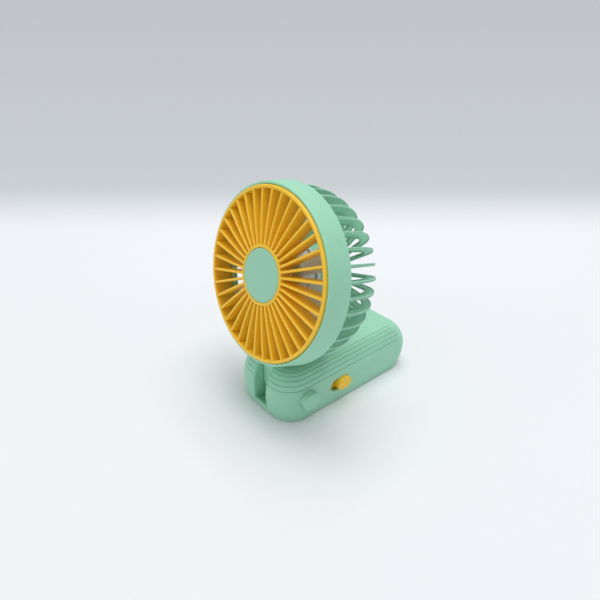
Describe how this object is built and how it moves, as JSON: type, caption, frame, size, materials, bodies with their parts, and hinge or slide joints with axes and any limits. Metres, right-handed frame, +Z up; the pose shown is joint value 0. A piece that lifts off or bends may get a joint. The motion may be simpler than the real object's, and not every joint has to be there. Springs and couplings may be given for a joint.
{
  "type": "folding pocket fan",
  "caption": "Pocket fan: a domed radial grille in a caged round head that folds about the nose of a flat rechargeable handle, which lies down as its stand.",
  "frame": {"origin": "on the handle's flat underside, straight below the hinge axis", "axes": "+Z up from the table; -Y the way the fan blows, +Y along the handle to its tail; +X the side with the release button and the switch"},
  "size_m": [0.0876, 0.0963, 0.1175],
  "materials": {
    "mint_shell": "satin moulded mint ABS",
    "yellow": "satin moulded warm yellow ABS",
    "milky": "milky grey-white moulded plastic",
    "white_plastic": "plain white acetal",
    "black_plastic": "plain black nylon",
    "steel": "plated steel",
    "bronze": "sintered bronze",
    "ferrite": "dull ferrite",
    "laminations": "stacked steel sheets with enamelled copper wound on them",
    "board": "green solder mask",
    "foil": "laminated foil pouch",
    "foam": "soft closed-cell foam tape",
    "lamp": "clear-lensed lamp, off"
  },
  "bodies": {
    "handle": {"body_shell": "mint_shell", "base_cover": "mint_shell", "base_screws": "steel", "board_screws": "steel", "circuit_board": "board", "usb_socket": "steel", "charge_led": "lamp", "battery_cell": "foil", "battery_tape": "foam", "slide_switch": "black_plastic", "hinge_pin": "steel", "pin_cap": "mint_shell", "button_spring": "steel"},
    "head": {"head_housing": "mint_shell", "hinge_bush": "white_plastic", "front_grille": "yellow", "hub_cap": "mint_shell", "motor_can": "steel", "motor_end_cap": "black_plastic", "motor_bushes": "bronze", "motor_magnets": "ferrite", "motor_retainer": "white_plastic", "retainer_screws": "steel"},
    "fan": {"impeller": "milky", "motor_shaft": "steel", "rotor_core": "laminations"},
    "switch": {"switch_knob": "yellow", "switch_stem": "black_plastic"},
    "button": {"release_button": "mint_shell"}
  },
  "joints": [
    {"name": "head_fold", "type": "hinge", "parent": "handle", "child": "head", "pos_m": [0, 0, 0.0128], "axis": [1, 0, 0], "range_deg": [0, 90]},
    {"name": "impeller_spin", "type": "hinge", "parent": "head", "child": "fan", "pos_m": [0, -0.0085, 0.0766], "axis": [0, -0.9677, 0.2521], "continuous": true},
    {"name": "switch_slide", "type": "slide", "parent": "handle", "child": "switch", "axis": [0, -1, 0], "range_m": [0, 0.0036]},
    {"name": "button_press", "type": "slide", "parent": "handle", "child": "button", "axis": [-1, 0, 0], "range_m": [0, 0.0024], "stiffness_N_per_m": 800, "deforming": ["button_spring"]}
  ]
}
